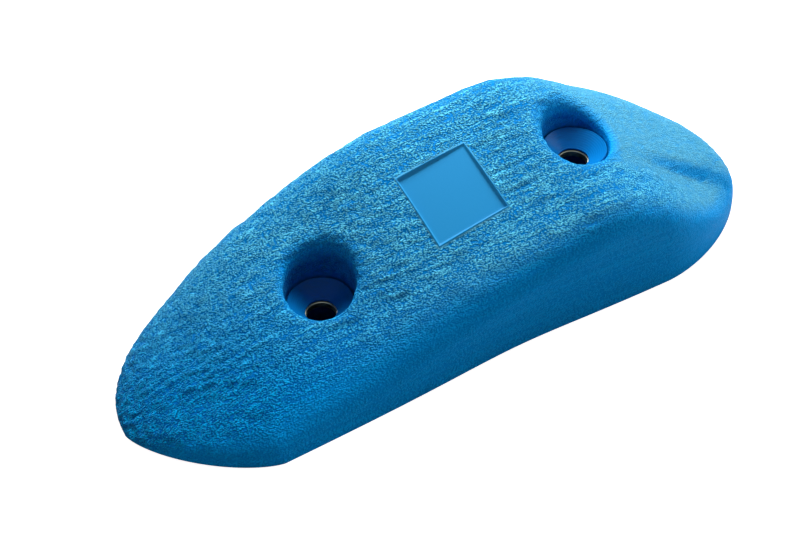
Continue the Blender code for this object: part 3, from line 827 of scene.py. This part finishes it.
def cast_polyurethane_grained():
    """Polyurethane cast in a mould of a coarse foam master: dull, with grains half a millimetre wide that
    catch light on one side, in the long rows that the foam's shaping left. Between the grains a deeper
    blue is partly their own tone and partly painted shade. The colour is painted paler and greyer as light
    on the lit top and the soft tail, deep blue as shade on the front side and navy as shade in the wells."""
    material, tree = blank_material("cast_polyurethane_grained")
    place = node(tree, "ShaderNodeTexCoord").outputs["Object"]
    share = node(tree, "ShaderNodeAttribute", attribute_name="grain").outputs["Fac"]
    painted_light_and_shade = node(tree, "ShaderNodeAttribute", attribute_name="painted_light_and_shade").outputs["Fac"]
    turned = node(tree, "ShaderNodeMapping", {"Vector": place, "Rotation": (0.0, 0.0, -STREAK_TURN)},
                  vector_type="POINT")
    drawn = node(tree, "ShaderNodeVectorMath",
                 {0: turned.outputs[0], 1: (1 / GRAIN_LENGTH, 1 / GRAIN_WIDTH, 1 / GRAIN_WIDTH)},
                 operation="MULTIPLY")
    pores = node(tree, "ShaderNodeTexNoise", {"Vector": drawn.outputs[0], "Scale": 1.0, "Detail": 2.0,
                                              "Roughness": 0.6, "Distortion": 0.15})
    cells = node(tree, "ShaderNodeTexVoronoi", {"Vector": drawn.outputs[0], "Scale": 1.0})
    clumped = node(tree, "ShaderNodeMath", {0: cells.outputs["Distance"], 1: CLUMP_WEIGHT, 2: CLUMP_LEVEL},
                   operation="MULTIPLY_ADD")
    mixed = node(tree, "ShaderNodeMath", {0: pores.outputs["Fac"], 1: PORE_WEIGHT, 2: clumped.outputs[0]},
                 operation="MULTIPLY_ADD")
    stretched = node(tree, "ShaderNodeVectorMath",
                     {0: turned.outputs[0], 1: (1 / ROW_LENGTH, 1 / ROW_PITCH, 1 / ROW_PITCH)},
                     operation="MULTIPLY")
    rows = node(tree, "ShaderNodeTexNoise", {"Vector": stretched.outputs[0], "Scale": 1.0, "Detail": 1.0})
    in_rows = node(tree, "ShaderNodeMath", {0: rows.outputs["Fac"], 1: ROW_WEIGHT, 2: mixed.outputs[0]},
                   operation="MULTIPLY_ADD")
    grains = node(tree, "ShaderNodeMapRange", {"Value": in_rows.outputs[0], "From Min": GRAIN_FROM,
                                               "From Max": GRAIN_TO}, interpolation_type="SMOOTHSTEP")
    off_rest = node(tree, "ShaderNodeMath", {0: grains.outputs["Result"], 1: GRAIN_REST},
                    operation="SUBTRACT")
    rise = node(tree, "ShaderNodeMath", {0: off_rest.outputs[0], 1: share, 2: GRAIN_REST},
                operation="MULTIPLY_ADD").outputs[0]
    # Lighter on the raised grain, deeper blue in the pits: partly the grain's own tone, partly painted shade
    # in the pits
    grained = node(tree, "ShaderNodeMix", {"Factor": rise, 6: srgb("#006CB2"), 7: srgb("#5AC2E2")},
                   data_type="RGBA")
    # Paler, greyer colours where the grain is soft, mostly on the tail: painted light for the tail's
    # stronger light
    painted_light_soft_grain = node(tree, "ShaderNodeMix", {"Factor": rise, 6: srgb("#106286"), 7: srgb("#669EA6")},
                  data_type="RGBA")
    speckled = node(tree, "ShaderNodeMix", {"Factor": share, 6: painted_light_soft_grain.outputs[2], 7: grained.outputs[2]},
                    data_type="RGBA")
    # Deep blue: painted shade on the front side and the low front of the nose
    deep = node(tree, "ShaderNodeMix", {"Factor": rise, 6: srgb("#0060AA"), 7: srgb("#00A2E6")},
                data_type="RGBA")
    outside = node(tree, "ShaderNodeMix", {"Factor": painted_light_and_shade, 6: deep.outputs[2], 7: speckled.outputs[2]},
                   data_type="RGBA")
    # Navy: painted shade on the walls of the wells, where the attribute falls below 0
    clear_of_wall_shade = node(tree, "ShaderNodeMapRange", {"Value": painted_light_and_shade, "From Min": -1.0, "From Max": 0.0})
    colour = node(tree, "ShaderNodeMix", {"Factor": clear_of_wall_shade.outputs["Result"], 6: srgb("#003C80"),
                                          7: outside.outputs[2]}, data_type="RGBA")
    bump = node(tree, "ShaderNodeBump", {"Height": rise, "Strength": 1.0, "Distance": GRAIN_HEIGHT})
    shader = node(tree, "ShaderNodeBsdfPrincipled", {"Base Color": colour.outputs[2], "Roughness": 0.5,
                                                     "Specular IOR Level": 0.01,
                                                     "Sheen Weight": 0.6, "Sheen Roughness": 0.16,
                                                     "Sheen Tint": srgb("#48B8F4"),
                                                     "Normal": bump.outputs["Normal"]})
    node(tree, "ShaderNodeOutputMaterial", {"Surface": shader.outputs[0]})
    return material


def drilled_bore_painted_shade():
    """The same polyurethane where the shank holes were drilled: dull, and painted dark navy as the shade
    inside the holes, with a faint mottle.
    """
    material, tree = blank_material("polyurethane_drilled_painted_shade")
    place = node(tree, "ShaderNodeTexCoord").outputs["Object"]
    bore_mottle = node(tree, "ShaderNodeTexNoise", {"Vector": place, "Scale": 1 / BORE_MOTTLE_WIDTH, "Detail": 2.0})
    # Dark navy: painted shade inside the shank holes
    colour = node(tree, "ShaderNodeMix", {"Factor": bore_mottle.outputs["Fac"], 6: srgb("#001A3C"),
                                          7: srgb("#00305C")}, data_type="RGBA")
    shader = node(tree, "ShaderNodeBsdfPrincipled", {"Base Color": colour.outputs[2], "Roughness": 0.9,
                                                     "Specular IOR Level": 0.02})
    node(tree, "ShaderNodeOutputMaterial", {"Surface": shader.outputs[0]})
    return material


def cast_polyurethane_smooth(name, roughness, colour):
    """The same polyurethane where the mould was polished: even colour and a satin shine."""
    material, tree = blank_material(name)
    place = node(tree, "ShaderNodeTexCoord").outputs["Object"]
    fine = node(tree, "ShaderNodeTexNoise", {"Vector": place, "Scale": 1 / SATIN_WIDTH, "Detail": 2.0})
    bump = node(tree, "ShaderNodeBump", {"Height": fine.outputs["Fac"], "Strength": 0.5,
                                         "Distance": SATIN_DEPTH})
    shader = node(tree, "ShaderNodeBsdfPrincipled", {"Base Color": srgb(colour), "Roughness": roughness,
                                                     "Specular IOR Level": 0.07,
                                                     "Normal": bump.outputs["Normal"]})
    node(tree, "ShaderNodeOutputMaterial", {"Surface": shader.outputs[0]})
    return material


def zinc_plated_steel():
    """Zinc-plated pressed steel, tumbled: dull grey with a faint yellow cast."""
    material, tree = blank_material("zinc_plated_pressed_steel")
    place = node(tree, "ShaderNodeTexCoord").outputs["Object"]
    marks = node(tree, "ShaderNodeTexNoise", {"Vector": place, "Scale": 1 / PLATING_WIDTH, "Detail": 3.0})
    colour = node(tree, "ShaderNodeMix", {"Factor": marks.outputs["Fac"], 6: srgb("#787E70"),
                                          7: srgb("#A4AA98")}, data_type="RGBA")
    shader = node(tree, "ShaderNodeBsdfPrincipled", {"Base Color": colour.outputs[2], "Metallic": 1.0,
                                                     "Roughness": 0.38})
    node(tree, "ShaderNodeOutputMaterial", {"Surface": shader.outputs[0]})
    return material


def seen_directly(tree):
    """1 for rays from the camera and for reflected and transmitted ones: these see plain white."""
    path = node(tree, "ShaderNodeLightPath")
    seen = node(tree, "ShaderNodeMath", {0: path.outputs["Is Camera Ray"], 1: path.outputs["Is Glossy Ray"]},
                operation="MAXIMUM")
    return node(tree, "ShaderNodeMath", {0: seen.outputs[0], 1: path.outputs["Is Transmission Ray"]},
                operation="MAXIMUM").outputs[0]


def white_card():
    """Matte card under the hold. To the camera and in reflections it glows up to white, but it keeps the
    shadow."""
    material, tree = blank_material("white_card_matte")
    card = node(tree, "ShaderNodeBsdfDiffuse", {"Color": srgb("#C0C0C0")})
    level = node(tree, "ShaderNodeMath", {0: seen_directly(tree), 1: CARD_GLOW}, operation="MULTIPLY")
    glow = node(tree, "ShaderNodeEmission", {"Color": srgb("#FFFFFF"), "Strength": level.outputs[0]})
    both = node(tree, "ShaderNodeAddShader", {0: card.outputs[0], 1: glow.outputs[0]})
    node(tree, "ShaderNodeOutputMaterial", {"Surface": both.outputs[0]})
    return material


def painted_shade_disc():
    """The same card under a screw hole, painted dark grey without glow: painted shade."""
    material, tree = blank_material("card_painted_shade_under_hole")
    card = node(tree, "ShaderNodeBsdfDiffuse", {"Color": srgb("#303030")})
    node(tree, "ShaderNodeOutputMaterial", {"Surface": card.outputs[0]})
    return material


def make_floor():
    """Card that the hold lies on, with a disc under each screw hole that doesn't glow and is painted dark as
    shade.
    """
    bm = bmesh.new()
    bmesh.ops.create_grid(bm, x_segments=1, y_segments=1, size=CARD_REACH)
    for centre, _ in SCREWS.values():
        disc = bmesh.ops.create_circle(bm, cap_ends=True, radius=SHANK_HOLE, segments=DISC_SIDES,
                                       matrix=Matrix.Translation((centre, 0.0, DISC_RISE)))
        for face in {face for vertex in disc["verts"] for face in vertex.link_faces}:
            face.material_index = 1
    mesh = bpy.data.meshes.new("white_floor")
    bm.to_mesh(mesh)
    bm.free()
    mesh.materials.append(white_card())
    mesh.materials.append(painted_shade_disc())
    floor = bpy.data.objects.new("white_floor", mesh)
    floor.location.z = -CARD_DROP
    bpy.context.collection.objects.link(floor)


def make_world():
    """White surround: full white to the camera and in reflections; as light it is brightest low down, as a
    white sweep is, and towards the lamp's side."""
    world = bpy.data.worlds.new("white_surround")
    world.use_nodes = True
    tree = world.node_tree
    tree.nodes.clear()
    way = node(tree, "ShaderNodeTexCoord").outputs["Generated"]
    rise = node(tree, "ShaderNodeSeparateXYZ", {"Vector": way}).outputs["Z"]
    band = node(tree, "ShaderNodeMapRange", {"Value": rise, "From Max": HORIZON_TOP, "To Min": HORIZON_LEVEL,
                                             "To Max": ZENITH_LEVEL}, interpolation_type="SMOOTHSTEP")
    lean = node(tree, "ShaderNodeVectorMath", {0: way, 1: HORIZON_LEAN}, operation="DOT_PRODUCT")
    level = node(tree, "ShaderNodeMath", {0: lean.outputs["Value"], 1: band.outputs["Result"],
                                          2: band.outputs["Result"]}, operation="MULTIPLY_ADD")
    strength = node(tree, "ShaderNodeMapRange", {"Value": seen_directly(tree), "To Min": level.outputs[0],
                                                 "To Max": 1.0})
    light = node(tree, "ShaderNodeBackground", {"Color": srgb("#FFFFFF"),
                                                "Strength": strength.outputs["Result"]})
    node(tree, "ShaderNodeOutputWorld", {"Surface": light.outputs[0]})
    bpy.context.scene.world = world


def add_softbox(name, place, size, power):
    """Square area lamp that looks at the hold."""
    lamp = bpy.data.lights.new(name, "AREA")
    lamp.size = size
    lamp.energy = power
    lamp_object = bpy.data.objects.new(name, lamp)
    lamp_object.location = place
    lamp_object.visible_camera = False
    lamp_object.rotation_euler = (-Vector(place)).to_track_quat("-Z", "Y").to_euler()
    bpy.context.collection.objects.link(lamp_object)


def make_camera():
    """The photograph's camera."""
    camera = bpy.data.cameras.new("camera")
    camera.lens = LENS_MM
    camera.sensor_width = SENSOR_MM
    camera.clip_start = NEAREST_SEEN
    camera.clip_end = FARTHEST_SEEN
    camera_object = bpy.data.objects.new("camera", camera)
    camera_object.location = CAMERA_PLACE
    towards = Vector(CAMERA_AIM) - Vector(CAMERA_PLACE)
    camera_object.rotation_euler = towards.to_track_quat("-Z", "Y").to_euler()
    bpy.context.collection.objects.link(camera_object)
    bpy.context.scene.camera = camera_object


def settle(piece, node_name):
    """The piece rides on the hold and stands for a CAD node, whose part it hides."""
    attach(piece, "root")
    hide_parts(node_name)


polished = cast_polyurethane_smooth("cast_polyurethane_polished", 0.4, "#1A74A6")
finishes = (cast_polyurethane_grained(), polished, drilled_bore_painted_shade())
settle(make_skin(finishes), "hold_body")
turned = cast_polyurethane_smooth("cast_polyurethane_turned_mould", 0.26, "#045E9C")
steel = zinc_plated_steel()
for side in SCREWS:
    settle(make_cup(side, turned), f"{side}_seat_cup")
    settle(make_washer(side, steel), f"{side}_washer")

make_floor()
make_world()
add_softbox("back_right_softbox", SOFTBOX_PLACE, SOFTBOX_SIZE, SOFTBOX_POWER)
add_softbox("right_side_softbox", SIDE_PLACE, SIDE_SIZE, SIDE_POWER)
make_camera()
bpy.context.scene.view_settings.view_transform = "Standard"
